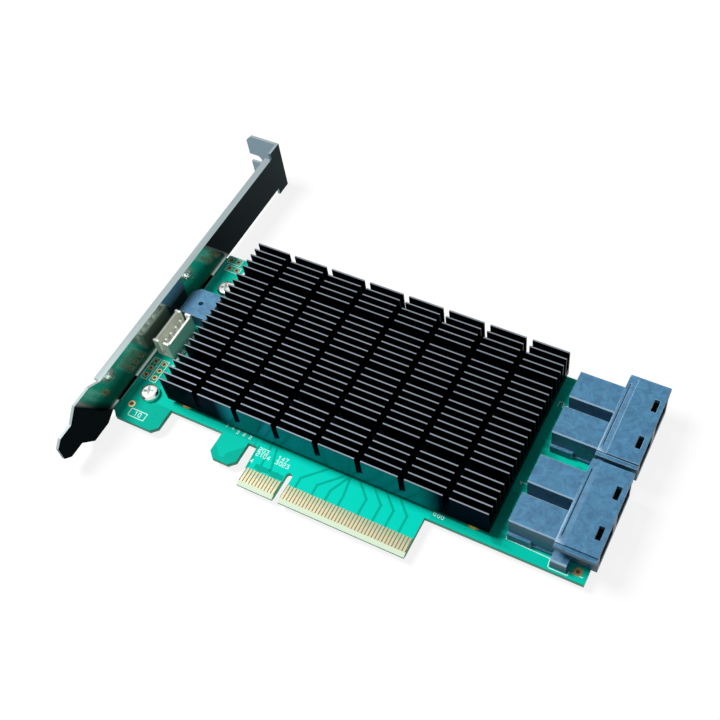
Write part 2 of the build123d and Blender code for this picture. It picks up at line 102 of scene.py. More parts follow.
def join(tree, node, inputs):
    """Fills a node's inputs, by socket name or number.

    Each value is a number, a hex colour, another node's output, or a node that stands for its first
    output in use. A Mix node of colours has its factor at 0 and its two colours at 6 and 7.
    """
    for key, value in inputs.items():
        if isinstance(value, bpy.types.Node):
            value = next(output for output in value.outputs if output.enabled)
        if isinstance(value, bpy.types.NodeSocket):
            tree.links.new(value, node.inputs[key])
        else:
            node.inputs[key].default_value = linear(value) if isinstance(value, str) else value


def add(tree, kind, inputs=None, **settings):
    """Adds one shader node with its settings and links."""
    made = tree.nodes.new("ShaderNode" + kind)
    for key, value in settings.items():
        setattr(made, key, value)
    join(tree, made, inputs or {})
    return made


def start_material(name, inputs):
    """A new material with the constants of its Principled shader.

    It comes with its tree, the shader and the Object coordinates that its patterns read.
    """
    made = bpy.data.materials.new(name)
    made.use_nodes = True
    tree = made.node_tree
    shader = tree.nodes["Principled BSDF"]
    join(tree, shader, inputs)
    return made, tree, shader, add(tree, "TexCoord").outputs["Object"]


def dress(name, material):
    """Gives a node of the frame its material in every slot."""
    for slot in nodes[name].material_slots:
        slot.material = material


def within(tree, value, low, high):
    """1 between low and high: one slope rises from low, one falls to high, and they are multiplied."""
    rise = add(tree, "MapRange", {"Value": value, "From Min": low, "From Max": low + ZONE_BLUR})
    fall = add(tree, "MapRange", {"Value": value, "From Min": high, "From Max": high - ZONE_BLUR})
    return add(tree, "Math", {0: rise, 1: fall}, operation="MULTIPLY")


def solder_mask():
    """Cured solder mask: its tone follows the copper planes and vias below, with a faint orange peel.

    Planes are the cells of a square Voronoi pattern, and vias the spots round the points of a finer one.
    """
    made, tree, shader, place = start_material(
        "solder_mask_gloss", {"Roughness": MASK_ROUGHNESS, "Specular IOR Level": MASK_SPECULAR})
    x, y, z = add(tree, "SeparateXYZ", {0: place}).outputs
    normal = add(tree, "NewGeometry").outputs["Normal"]
    up = add(tree, "SeparateXYZ", {0: normal}).outputs[2]

    pour = add(tree, "TexVoronoi", {"Vector": place, "Scale": 1 / POUR_SIZE, "Randomness": POUR_SPREAD},
               feature="F1", distance="MANHATTAN")
    tone = add(tree, "SeparateXYZ", {0: pour.outputs["Color"]}).outputs[0]
    split = add(tree, "MapRange", {"Value": tone, "From Min": POUR_SPLIT[0], "From Max": POUR_SPLIT[1]})
    green = add(tree, "Mix", {0: split, 6: MASK_PLANE, 7: MASK_COPPER}, data_type="RGBA")

    spots = add(tree, "TexVoronoi", {"Vector": place, "Scale": 1 / VIA_STEP, "Randomness": VIA_SPREAD},
                feature="F1")
    via_rim = VIA_R / VIA_STEP
    via = add(tree, "MapRange", {"Value": spots, "From Min": via_rim, "From Max": VIA_CORE * via_rim})
    via = add(tree, "Math", {0: via, 1: VIA_DEPTH}, operation="MULTIPLY")
    green = add(tree, "Mix", {0: via, 6: green, 7: MASK_DEEP}, data_type="RGBA")

    tongue = within(tree, x, TONGUE_LEFT, TONGUE_RIGHT)
    below = add(tree, "MapRange", {"Value": y, "From Min": CLEAR_TOP + WIDE_BLUR, "From Max": CLEAR_TOP})
    clear = add(tree, "Math", {0: tongue, 1: below}, operation="MULTIPLY")
    green = add(tree, "Mix", {0: clear, 6: green, 7: MASK_CLEAR}, data_type="RGBA")

    above = add(tree, "MapRange", {"Value": y, "From Min": BEVEL_END, "From Max": BEVEL_END + ZONE_BLUR})
    bare = add(tree, "Mix", {0: above, 6: BEVEL_GREEN, 7: BETWEEN_GREEN}, data_type="RGBA")
    below = add(tree, "MapRange", {"Value": y, "From Min": MASK_END + ZONE_BLUR, "From Max": MASK_END})
    opening = add(tree, "Math", {0: tongue, 1: below}, operation="MULTIPLY")
    face = add(tree, "Mix", {0: opening, 6: green, 7: bare}, data_type="RGBA")

    # Side faces take the laminate's own green with a painted highlight on it, and tan below.
    above = add(tree, "MapRange",
                {"Value": z, "From Min": EDGE_TAN_TOP, "From Max": EDGE_TAN_TOP + WIDE_BLUR})
    edge = add(tree, "Mix", {0: above, 6: EDGE_TAN, 7: EDGE_LAMINATE_AND_HIGHLIGHT}, data_type="RGBA")
    lean = add(tree, "Math", {0: up}, operation="ABSOLUTE")
    flat = add(tree, "MapRange", {"Value": lean, "From Min": FLAT_NORMAL[0], "From Max": FLAT_NORMAL[1]})
    colour = add(tree, "Mix", {0: flat, 6: edge, 7: face}, data_type="RGBA")

    peel = add(tree, "TexNoise", {"Vector": place, "Scale": 1 / ORANGE_PEEL, "Detail": SOFT_DETAIL})
    relief = add(tree, "Bump",
                 {"Height": peel, "Distance": ORANGE_PEEL_RELIEF, "Strength": ORANGE_PEEL_STRENGTH})
    join(tree, shader, {"Base Color": colour, "Normal": relief})
    return made


dress("circuit_board", solder_mask())


# Tracks and printing on the board: etched copper under the mask stands up a little as darker
# lines that fan out from the edge contacts. White ink is screened over the mask as outlines round
# the parts and holes and as plain numerals. Sizes on the board's plan are in millimetres.
TRACK_W = 0.65
TRACK_RISE = 0.03
LAP_RISE = 0.004
LAP_LEVELS = 3
TRACK_PALE = "#02AB94"
TRACK_DARK = "#039E88"
TRACK_CLOUD = 3.0 * MM
FAN_FEET = (3.2, 8.4, 12.5, 16.5, 22.6, 27.0, 30.8, 34.8)
FAN_FOOT_Y = 5.6
FAN_MIDDLE = 19.0
FAN_LEFT_KNEE = 8.9
FAN_RIGHT_KNEE = 10.7
FAN_AIM = 15.5
FAN_TOP_Y = 15.2
FIRST_TRACKS = [
    [(-12.2, 5.6), (-12.6, 12.6)],
    [(-8.8, 5.6), (-8.9, 9.6), (-9.4, 14.6)],
    [(-5.4, 6.9), (-7.6, 14.6)],
    [(-8.0, 5.6), (-8.0, 7.2)],
    [(-3.4, 5.6), (-3.4, 7.4)],
]
COPPER_WINDOWS = [(-9.6, 6.9, -6.4, 6.9), (-4.6, 6.7, -2.0, 6.7)]
WINDOW_W = 1.5
BOX_FACES = np.array([(0, 3, 2, 1), (4, 5, 6, 7), (0, 1, 5, 4), (1, 2, 6, 5), (2, 3, 7, 6), (3, 0, 4, 7)])


def piece(name, points, faces, material):
    """A new mesh piece of the card from its points in millimetres and its faces."""
    mesh = bpy.data.meshes.new(name)
    mesh.from_pydata((np.asarray(points).reshape(-1, 3) * MM).tolist(), [], np.asarray(faces).tolist())
    mesh.materials.append(material)
    made = bpy.data.objects.new(name, mesh)
    bpy.context.scene.collection.objects.link(made)
    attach(made, "root")
    return made


def strips(name, runs, width, high, material):
    """Flat bars along runs (x0, y0, x1, y1): each end moves half a width sideways and outwards.

    They stand on the board's face. Bars take turns at three heights a hair apart, so that one and
    the next don't share a face where they cross.
    """
    runs = np.asarray(runs, float)
    start, end = runs[:, :2], runs[:, 2:]
    along = (end - start) / np.linalg.norm(end - start, axis=1, keepdims=True) * width / 2
    side = np.stack([-along[:, 1], along[:, 0]], axis=1)
    corners = [start - along - side, end + along - side, end + along + side, start - along + side]
    ring = np.stack(corners, axis=1)
    crest = high + LAP_RISE * (np.arange(len(runs)) % LAP_LEVELS)[:, None]
    both = np.concatenate([np.insert(ring, 2, 0.0, axis=2), np.insert(ring, 2, crest, axis=2)], axis=1)
    faces = (np.arange(len(runs)) * 8)[:, None, None] + BOX_FACES
    return piece(name, both, faces.reshape(-1, 4), material)


def path_runs(points):
    """The straight runs from each point to the next."""
    return [(*a, *b) for a, b in zip(points[:-1], points[1:])]


def box_runs(x0, y0, x1, y1):
    """The four runs of an upright rectangle."""
    return path_runs([(x0, y0), (x1, y0), (x1, y1), (x0, y1), (x0, y0)])


def clouded(name, low, high, cloud, inputs):
    """A skin whose colour drifts between two tones in soft clouds of the given size."""
    made, tree, shader, place = start_material(name, inputs)
    drift = add(tree, "TexNoise", {"Vector": place, "Scale": 1 / cloud, "Detail": SOFT_DETAIL})
    colour = add(tree, "Mix", {0: drift, 6: low, 7: high}, data_type="RGBA")
    join(tree, shader, {"Base Color": colour})
    return made


fan = [run for points in FIRST_TRACKS for run in path_runs(points)]
for foot_x in FAN_FEET:
    knee_y = FAN_RIGHT_KNEE if foot_x > FAN_MIDDLE else FAN_LEFT_KNEE
    lean = np.clip(FAN_AIM - foot_x, knee_y - FAN_TOP_Y, FAN_TOP_Y - knee_y)
    fan += path_runs([(foot_x, FAN_FOOT_Y), (foot_x, knee_y), (foot_x + lean, FAN_TOP_Y)])

# Mask over etched copper is the same cured skin as on the board, a little deeper in tone.
track_mask = clouded("masked_copper_track", TRACK_PALE, TRACK_DARK, TRACK_CLOUD,
                     {"Roughness": MASK_ROUGHNESS, "Specular IOR Level": MASK_SPECULAR})
strips("copper_tracks", fan, TRACK_W, TRACK_RISE, track_mask)
strips("copper_windows", COPPER_WINDOWS, WINDOW_W, TRACK_RISE, track_mask)

INK_THIN = "#BFF3EA"
INK_FULL = "#E2FBF6"
INK_ROUGHNESS = 0.6
INK_MOTTLE = 0.4 * MM
INK_W = 0.2
FINE_INK_W = 0.17
INK_RISE = 0.045
HOLE_BOXES = [
    (-57.3, 18.3, -55.1, 26.1),
    (-54.25, 18.3, -52.05, 26.1),
    (-57.2, 66.2, -52.4, 68.6),
    (-56.1, 63.1, -51.2, 65.5),
    (-53.1, 5.9, -47.7, 8.3),
]
PART_OUTLINES = [(-51.6, 27.0, -49.0, 31.6), (-51.6, 33.2, -49.0, 37.9)]
PORT_LINES = [
    [(60.97, 15.8), (60.97, 17.0)],
    [(60.97, 15.8), (73.3, 15.4)],
    [(73.6, 12.95), (78.9, 12.95), (78.9, 14.0), (82.6, 14.0)],
    [(73.6, 12.95), (73.3, 15.4)],
]
NUMERALS = {
    "0": [(0, 0), (0.6, 0), (0.6, 1), (0, 1), (0, 0)],
    "1": [(0.1, 0.8), (0.35, 1), (0.35, 0)],
    "2": [(0, 1), (0.6, 1), (0.6, 0.5), (0, 0.5), (0, 0), (0.6, 0)],
    "3": [(0, 1), (0.6, 1), (0.25, 0.55), (0.6, 0.45), (0.6, 0), (0, 0)],
    "4": [(0.5, 0), (0.5, 1), (0, 0.35), (0.65, 0.35)],
    "7": [(0, 1), (0.6, 1), (0.2, 0)],
}
PORT_NUMBERS = [("1", 60.4, 31.6), ("2", 60.4, 58.6)]
PORT_NUMBER_H = 2.7
SMALL_NUMBERS = [
    ("7", -24.6, 14.4), ("4", -22.7, 14.3), ("3", -20.7, 13.7), ("2", -18.6, 13.8), ("2", -16.5, 13.6),
    ("0", 40.9, 13.9), ("0", 42.1, 13.8), ("0", 43.2, 13.8), ("4", -12.3, 7.4),
]
SMALL_NUMBER_H = 1.0
LABELS = [
    ("10", -51.4, 6.5, 1.3),
    ("203", -11.9, 11.4, 1.15),
    ("2104", -11.9, 9.9, 1.15),
    ("147", -5.6, 11.3, 1.15),
    ("3023", -5.6, 9.8, 1.15),
]


def numeral(digit, x, y, height, upright=True):
    """The strokes of one plain numeral from its lower left corner, or turned to read along the card."""
    cell = np.array(NUMERALS[digit]) * height
    turned = cell if upright else np.stack([-cell[:, 1], cell[:, 0]], axis=1)
    return path_runs([tuple(point) for point in turned + (x, y)])


# Screen-printed epoxy ink: matt white with a tinge of the mask below where it lies thin. The threads
# of a printing screen are about 0.1 mm apart, and their mottle is drawn 0.4 mm wide so that it shows.
white_ink = clouded("white_screen_ink", INK_THIN, INK_FULL, INK_MOTTLE, {"Roughness": INK_ROUGHNESS})
ink = [run for corners in HOLE_BOXES + PART_OUTLINES for run in box_runs(*corners)]
ink += [run for points in PORT_LINES for run in path_runs(points)]
for digit, x, y in PORT_NUMBERS:
    ink += numeral(digit, x, y, PORT_NUMBER_H, upright=False)
strips("screen_print", ink, INK_W, INK_RISE, white_ink)
fine = [run for digit, x, y in SMALL_NUMBERS for run in numeral(digit, x, y, SMALL_NUMBER_H)]
for digits, x, y, height in LABELS:
    for k, digit in enumerate(digits):
        fine += numeral(digit, x + k * height, y, height)
strips("screen_print_fine", fine, FINE_INK_W, INK_RISE, white_ink)


# Plated rings and pads: copper with a thin flash of gold round the holes that take pins, and under
# the heatsink's corners. Inside each ring a dark disc of painted shade, mottled dark and brown,
# stands for the shaded wall of the hole. Sizes on the board's plan are in millimetres.
RING_PALE = "#C6AE7C"
RING_STAIN = "#A88C5C"
RING_ROUGHNESS = 0.4
RING_RISE = 0.06
RING_STEPS = 24
HOLE_R = 0.5
HOLE_PAD_R = 0.8
HOLE_PITCH = 2.54
TRIPLE_XS = (-56.2, -53.15)
TRIPLE_Y = 19.8
PAIRS = ((-56.1, 67.4), (-54.9, 64.3))
TOOLING_RINGS = [(80.95, 15.0, 0.55, 1.3), (-54.1, 9.5, 0.6, 1.1)]
CORNER_XS = (-39.06, 51.89)
CORNER_YS = (17.95, 65.23)
CORNER_PAD_R = (3.02, 3.3)
BORE_DARK = "#2E2214"
BORE_BROWN = "#4A3820"
BORE_ROUGHNESS = 0.7
BORE_SHADE_MOTTLE = 0.3 * MM
BORE_RISE = 0.02
BORE_EYE = 0.03
STAIN_SIZE = 1.5 * MM
STAIN_SPLIT = (0.35, 0.7)
PLATE_GRAIN = 0.3 * MM
PLATE_RELIEF = 0.005 * MM
PLATE_STRENGTH = 0.5


def rings(name, places, high, material):
    """Flat washers (x, y, inner, outer): a square profile carried round each centre on the board."""
    x, y, inner, outer = np.asarray(places, float).T[:, :, None, None]
    angle = np.linspace(0, 2 * np.pi, RING_STEPS, endpoint=False)[None, :, None]
    radius = np.concatenate([inner, outer, outer, inner], axis=2)
    height = np.array([0.0, 0.0, high, high]) + 0 * radius * angle
    points = np.stack([x + radius * np.cos(angle), y + radius * np.sin(angle), height], axis=3)
    here = np.arange(points[..., 0].size).reshape(points.shape[:3])
    ahead = np.roll(here, -1, axis=1)
    faces = np.stack([here, ahead, np.roll(ahead, -1, axis=2), np.roll(here, -1, axis=2)], axis=3)
    return piece(name, points, faces.reshape(-1, 4), material)


def fine_relief(tree, place, size, depth, strength):
    """Relief of the given depth from soft noise of the given size, as a normal."""
    grain = add(tree, "TexNoise", {"Vector": place, "Scale": 1 / size, "Detail": SOFT_DETAIL})
    return add(tree, "Bump", {"Height": grain, "Distance": depth, "Strength": strength})


def stained_plate(name, pale, stain, roughness):
    """Thin plate or turned brass: a pale warm metal with faint staining and a fine grain.

    The grain of such metal is far finer than 0.1 mm and is drawn 0.3 mm wide so that it shows.
    """
    made, tree, shader, place = start_material(name, {"Metallic": 1.0, "Roughness": roughness})
    cloud = add(tree, "TexNoise", {"Vector": place, "Scale": 1 / STAIN_SIZE, "Detail": SOFT_DETAIL})
    spots = add(tree, "MapRange", {"Value": cloud, "From Min": STAIN_SPLIT[0], "From Max": STAIN_SPLIT[1]})
    colour = add(tree, "Mix", {0: spots, 6: pale, 7: stain}, data_type="RGBA")
    relief = fine_relief(tree, place, PLATE_GRAIN, PLATE_RELIEF, PLATE_STRENGTH)
    join(tree, shader, {"Base Color": colour, "Normal": relief})
    return made


header_holes = [(x, TRIPLE_Y + k * HOLE_PITCH) for x in TRIPLE_XS for k in range(3)]
header_holes += [(x + k * HOLE_PITCH, y) for x, y in PAIRS for k in range(2)]
hole_rings = [(x, y, HOLE_R, HOLE_PAD_R) for x, y in header_holes] + TOOLING_RINGS
corner_pads = [(x, y, *CORNER_PAD_R) for x in CORNER_XS for y in CORNER_YS]
ring_gold = stained_plate("gold_flash_ring", RING_PALE, RING_STAIN, RING_ROUGHNESS)
rings("plated_rings", hole_rings + corner_pads, RING_RISE, ring_gold)
# Painted shade: a dark disc lies inside each ring, over the hole.
bores = [(x, y, BORE_EYE, inner) for x, y, inner, _ in hole_rings]
bore_shade = clouded("shaded_plated_bore", BORE_DARK, BORE_BROWN, BORE_SHADE_MOTTLE,
                     {"Roughness": BORE_ROUGHNESS})
rings("painted_bore_shade", bores, BORE_RISE, bore_shade)


# Edge contacts: hard gold over nickel plated on the copper of both faces of the tongue. Sockets
# wear it smooth, so that it shines pale and warm.
FOOT_GOLD = ("#C2B79A", "#B3A88A")
HEAD_GOLD_AND_GREEN_REFLECTION = ("#A7B092", "#99A283")
PLATE_FOOT = 2.8 * MM
PLATE_HEAD = 4.6 * MM
CONTACT_ROUGHNESS = 0.25


def hard_gold():
    """Hard gold worn by the socket: its colour goes from warm at the foot to cooler near the mask.

    The cooler tone is a painted reflection of the green that the upper ends face. The grain is drawn as on
    the rings.
    """
    made, tree, shader, place = start_material(
        "gold_contact_plate", {"Metallic": 1.0, "Roughness": CONTACT_ROUGHNESS})
    wear = add(tree, "TexNoise", {"Vector": place, "Scale": 1 / STAIN_SIZE, "Detail": SOFT_DETAIL})
    foot = add(tree, "Mix", {0: wear, 6: FOOT_GOLD[0], 7: FOOT_GOLD[1]}, data_type="RGBA")
    head = add(tree, "Mix", {0: wear, 6: HEAD_GOLD_AND_GREEN_REFLECTION[0], 7: HEAD_GOLD_AND_GREEN_REFLECTION[1]}, data_type="RGBA")
    up_card = add(tree, "SeparateXYZ", {0: place}).outputs[1]
    # Painted reflection: the plate turns from warm gold at the foot to cooler green near the mask.
    climb = add(tree, "MapRange", {"Value": up_card, "From Min": PLATE_FOOT, "From Max": PLATE_HEAD})
    colour = add(tree, "Mix", {0: climb, 6: foot, 7: head}, data_type="RGBA")
    relief = fine_relief(tree, place, PLATE_GRAIN, PLATE_RELIEF, PLATE_STRENGTH)
    join(tree, shader, {"Base Color": colour, "Normal": relief})
    return made


contact_gold = hard_gold()
for name in ("edge_contacts_top", "edge_contacts_bottom"):
    dress(name, contact_gold)


# Slot bracket: one blank of steel strip, punched and folded, with bright nickel plate. Its pale
# plate carries painted light: the folds are painted paler towards the foot and darker further on,
# and faces turned down are painted in shade. The wide inner face mirrors the card, and its base
# colour is a painted reflection that changes by zone along the card for what lies before it:
# darkness at the foot and top, the board between. The ears past the inner face are painted in shade.
STEEL_TINT = "#C4C8C8"
LOW_FOLD = ("#A9B8B9", "#BCCACA")
HIGH_FOLD = ("#98A8AC", "#ACBBBE")
DOWN_FACE_SHADE = "#7B909B"
FOOT_SHADE = "#030608"
BOARD_GLEAM = "#98A9A2"
TOP_SHADE = "#080B0E"
TIP_SHADE = "#23292A"
EAR_SHADE = "#1E2F2C"
ROLL_LINE = 1.6 * MM
ROLL_STRETCH = 0.06
ROLL_DETAIL = 4.0
STEEL_ROUGHNESS = (0.12, 0.24)
MIRROR_LEAN = 0.64
MIRROR_LOW = (5.2 * MM, 8.0 * MM)
MIRROR_TOP = (69.5 * MM, 67.0 * MM)
HEAD_FADE = (64.0 * MM, 104.0 * MM)
FOLD_LIGHT_FADE = (10.0 * MM, 90.0 * MM)
EAR_START = (-58.9 * MM, -58.8 * MM)
INNER_NORMAL = (0.8, 0.95)
DOWN_NORMAL = (-0.8, -0.95)


def bright_plated_steel():
    """Bright nickel plate on rolled steel, pale, with painted light: the folds fade along the card, faces
    turned down take painted shade, and the inner face is a painted reflection, dark with the board between.

    The zones' borders lean as the board's reflection does: along + height * lean. Rolling lines are
    finer than 0.1 mm and are drawn 1.6 mm wide, stretched along the strip, so that they show.
    """
    made, tree, shader, place = start_material(
        "bright_plated_steel", {"Metallic": 1.0, "Specular Tint": STEEL_TINT})
    normal = add(tree, "NewGeometry").outputs["Normal"]
    facing, lengthwise, _ = add(tree, "SeparateXYZ", {0: normal}).outputs
    across, along, height = add(tree, "SeparateXYZ", {0: place}).outputs
    rolled = add(tree, "Mapping", {"Vector": place, "Scale": (1.0, ROLL_STRETCH, 1.0)})
    grain = add(tree, "TexNoise", {"Vector": rolled, "Scale": 1 / ROLL_LINE, "Detail": ROLL_DETAIL})

    # The plate's own pale tones, with painted light: paler towards the foot, darker further along.
    low_fold = add(tree, "Mix", {0: grain, 6: LOW_FOLD[0], 7: LOW_FOLD[1]}, data_type="RGBA")
    high_fold = add(tree, "Mix", {0: grain, 6: HIGH_FOLD[0], 7: HIGH_FOLD[1]}, data_type="RGBA")
    climb = add(tree, "MapRange", {"Value": along, "From Min": FOLD_LIGHT_FADE[0], "From Max": FOLD_LIGHT_FADE[1]})
    fold = add(tree, "Mix", {0: climb, 6: low_fold, 7: high_fold}, data_type="RGBA")
    # Painted shade on faces turned down.
    down_shade = add(tree, "MapRange",
               {"Value": lengthwise, "From Min": DOWN_NORMAL[0], "From Max": DOWN_NORMAL[1]})
    fold = add(tree, "Mix", {0: down_shade, 6: fold, 7: DOWN_FACE_SHADE}, data_type="RGBA")

    # Painted reflection on the inner face: dark at the foot and above the card, the board's gleam between,
    # with the borders leaning with height.
    lean = add(tree, "Math", {0: height, 1: MIRROR_LEAN}, operation="MULTIPLY")
    reach = add(tree, "Math", {0: along, 1: lean}, operation="ADD")
    head = add(tree, "MapRange", {"Value": along, "From Min": HEAD_FADE[0], "From Max": HEAD_FADE[1]})
    dark = add(tree, "Mix", {0: head, 6: TOP_SHADE, 7: TIP_SHADE}, data_type="RGBA")
    foot = add(tree, "MapRange", {"Value": reach, "From Min": MIRROR_LOW[0], "From Max": MIRROR_LOW[1]})
    mirror = add(tree, "Mix", {0: foot, 6: FOOT_SHADE, 7: BOARD_GLEAM}, data_type="RGBA")
    board = add(tree, "MapRange", {"Value": reach, "From Min": MIRROR_TOP[0], "From Max": MIRROR_TOP[1]})
    face = add(tree, "Mix", {0: board, 6: dark, 7: mirror}, data_type="RGBA")

    # The inner face takes the painted reflection; all other faces take the fold tones.
    inner = add(tree, "MapRange", {"Value": facing, "From Min": INNER_NORMAL[0], "From Max": INNER_NORMAL[1]})
    colour = add(tree, "Mix", {0: inner, 6: fold, 7: face}, data_type="RGBA")
    # Painted shade: the ears past the inner face, under the board, are drawn dark.
    ear = add(tree, "MapRange", {"Value": across, "From Min": EAR_START[0], "From Max": EAR_START[1]})
    colour = add(tree, "Mix", {0: ear, 6: colour, 7: EAR_SHADE}, data_type="RGBA")
    gloss = add(tree, "MapRange",
                {"Value": grain, "To Min": STEEL_ROUGHNESS[0], "To Max": STEEL_ROUGHNESS[1]})
    join(tree, shader, {"Base Color": colour, "Roughness": gloss})
    return made


dress("slot_bracket", bright_plated_steel())


# Bracket screws, crystals and the heatsink's screws: small turned and pressed steel parts, plated
# with bright nickel in a tumbling barrel.
NICKEL_LOW = "#D3D8D6"
NICKEL_HIGH = "#F0F2EE"
NICKEL_ROUGHNESS = 0.22
BARREL_DENT = 0.7 * MM
DENT_DEPTH = 0.03 * MM
DENT_STRENGTH = 0.6


def bright_nickel():
    """Barrel-plated nickel: bright, with fine random dents from the barrel that also shift its tone."""
    made, tree, shader, place = start_material(
        "barrel_plated_nickel", {"Metallic": 1.0, "Roughness": NICKEL_ROUGHNESS})
    dents = add(tree, "TexNoise", {"Vector": place, "Scale": 1 / BARREL_DENT, "Detail": SOFT_DETAIL})
    colour = add(tree, "Mix", {0: dents, 6: NICKEL_LOW, 7: NICKEL_HIGH}, data_type="RGBA")
    relief = add(tree, "Bump", {"Height": dents, "Distance": DENT_DEPTH, "Strength": DENT_STRENGTH})
    join(tree, shader, {"Base Color": colour, "Normal": relief})
    return made


nickel = bright_nickel()
for name in ("bracket_screws", "heatsink_screws", "clock_crystals"):
    dress(name, nickel)


# Heatsink: extruded aluminium, cross-cut with saws into eight columns and then black anodised.
# The dye is near black with a cold sheen. The fin tops are painted a little lighter than the walls,
# with a painted glint on a thin line each, and the middle of the front face carries a painted
# reflection of the board in teal.
SINK_TINT = "#B4B8BA"
WALL_BLACK = ("#080B0F", "#0F1319")
FRONT_TEAL_REFLECTION = "#1B838E"
PAINTED_LIGHT_TOP = "#2A2F37"
GLINT = ("#7C8590", "#949DA8")
SINK_ROUGHNESS = (0.2, 0.32)
DIE_LINE = 0.5 * MM
DIE_STRETCH = 0.05
SINK_MIDDLE_X = 8.5 * MM
BRIGHT_HALF = 28.5 * MM
DARK_HALF = 34.5 * MM
FRONT_ROW_Y = 14.9 * MM
FIN_TOP_Z = 12.3 * MM
TOP_FADE = 1.0 * MM
TOP_NORMAL = (0.8, 0.95)
FIN_PITCH = 2.32 * MM
FIRST_FIN_Y = 14.7 * MM
FIN_JUMPS = ((26.9 * MM, 12.72 * MM), (43.0 * MM, 16.78 * MM), (58.0 * MM, 15.0 * MM))
GLINT_EDGE = 0.2 * MM
GLINT_CORE = 0.12 * MM


def fin_glint(tree, along):
    """1 on the middle line of each fin's top, where the painted glint goes: |t - round(t)| * pitch is near 0.

    t counts the fins from the first of their group, whose place jumps at the edge of each group.
    """
    start = FIRST_FIN_Y
    for edge, step in FIN_JUMPS:
        past = add(tree, "Math", {0: along, 1: edge}, operation="GREATER_THAN")
        jump = add(tree, "Math", {0: past, 1: step}, operation="MULTIPLY")
        start = add(tree, "Math", {0: jump, 1: start}, operation="ADD")
    offset = add(tree, "Math", {0: along, 1: start}, operation="SUBTRACT")
    fins = add(tree, "Math", {0: offset, 1: FIN_PITCH}, operation="DIVIDE")
    nearest = add(tree, "Math", {0: fins}, operation="ROUND")
    gap = add(tree, "Math", {0: fins, 1: nearest}, operation="SUBTRACT")
    gap = add(tree, "Math", {0: gap}, operation="ABSOLUTE")
    away = add(tree, "Math", {0: gap, 1: FIN_PITCH}, operation="MULTIPLY")
    return add(tree, "MapRange", {"Value": away, "From Min": GLINT_EDGE, "From Max": GLINT_CORE})


def black_anodised():
    """Dyed anodised aluminium: a dark metal sheen with lines along the extrusion, painted glints on the fin
    tops and a painted reflection on the front.

    The die's lines are finer than 0.1 mm and are drawn 0.5 mm wide so that they show.
    """
    made, tree, shader, place = start_material(
        "black_anodised_aluminium", {"Metallic": 1.0, "Specular Tint": SINK_TINT})
    normal = add(tree, "NewGeometry").outputs["Normal"]
    up = add(tree, "SeparateXYZ", {0: normal}).outputs[2]
    across, along, height = add(tree, "SeparateXYZ", {0: place}).outputs
    drawn = add(tree, "Mapping", {"Vector": place, "Scale": (DIE_STRETCH, 1.0, 1.0)})
    lines = add(tree, "TexNoise", {"Vector": drawn, "Scale": 1 / DIE_LINE, "Detail": SOFT_DETAIL})

    # Painted reflection: the middle of the front face is teal for the board that it faces, fading to black
    # towards the ends.
    offset = add(tree, "Math", {0: across, 1: SINK_MIDDLE_X}, operation="SUBTRACT")
    offset = add(tree, "Math", {0: offset}, operation="ABSOLUTE")
    middle = add(tree, "MapRange", {"Value": offset, "From Min": DARK_HALF, "From Max": BRIGHT_HALF})
    board_reflection = add(tree, "MapRange",
                {"Value": along, "From Min": FRONT_ROW_Y, "From Max": FRONT_ROW_Y - ZONE_BLUR})
    board_reflection = add(tree, "Math", {0: middle, 1: board_reflection}, operation="MULTIPLY")
    black = add(tree, "Mix", {0: lines, 6: WALL_BLACK[0], 7: WALL_BLACK[1]}, data_type="RGBA")
    wall = add(tree, "Mix", {0: board_reflection, 6: black, 7: FRONT_TEAL_REFLECTION}, data_type="RGBA")

    # Painted highlight: a glint on each fin top's middle line, and the rest of the top painted lighter than
    # the walls.
    glint = add(tree, "Mix", {0: lines, 6: GLINT[0], 7: GLINT[1]}, data_type="RGBA")
    top = add(tree, "Mix", {0: fin_glint(tree, along), 6: PAINTED_LIGHT_TOP, 7: glint}, data_type="RGBA")
    # The painted top takes the faces turned up at the fins' height.
    level = add(tree, "MapRange", {"Value": up, "From Min": TOP_NORMAL[0], "From Max": TOP_NORMAL[1]})
    high = add(tree, "MapRange", {"Value": height, "From Min": FIN_TOP_Z - TOP_FADE, "From Max": FIN_TOP_Z})
    painted_top = add(tree, "Math", {0: level, 1: high}, operation="MULTIPLY")
    colour = add(tree, "Mix", {0: painted_top, 6: wall, 7: top}, data_type="RGBA")
    gloss = add(tree, "MapRange", {"Value": lines, "To Min": SINK_ROUGHNESS[0], "To Max": SINK_ROUGHNESS[1]})
    join(tree, shader, {"Base Color": colour, "Roughness": gloss})
    return made


dress("heatsink", black_anodised())


# Spacers, chips and passives under the heatsink: turned brass, moulded epoxy packages, pressed
# ferrite coils, fired ceramic bodies and silicone pads, all soldered or laid in place.
BRASS_PALE = "#D9BE7C"
BRASS_STAIN = "#BF9D57"
BRASS_ROUGHNESS = 0.3
EPOXY = ("#15171A", "#1F2226")
EPOXY_GRAIN = 0.3 * MM
EPOXY_ROUGHNESS = 0.55
SILICONE = ("#8FA3B4", "#A9B9C6")
SILICONE_GRAIN = 0.6 * MM
SILICONE_ROUGHNESS = 0.8
FERRITE = ("#3B3C3E", "#4C4D4F")
FERRITE_GRAIN = 0.35 * MM
FERRITE_ROUGHNESS = 0.7
TITANATE = ("#A88F6A", "#BBA27C")
ALUMINA = ("#B7C4BE", "#DDE5E0")
MOULD_RELIEF = 0.02 * MM
MOULD_STRENGTH = 0.5
CERAMIC_GRAIN = 0.25 * MM
CERAMIC_ROUGHNESS = 0.45
CERAMIC_RELIEF = 0.01 * MM
CERAMIC_STRENGTH = 0.4


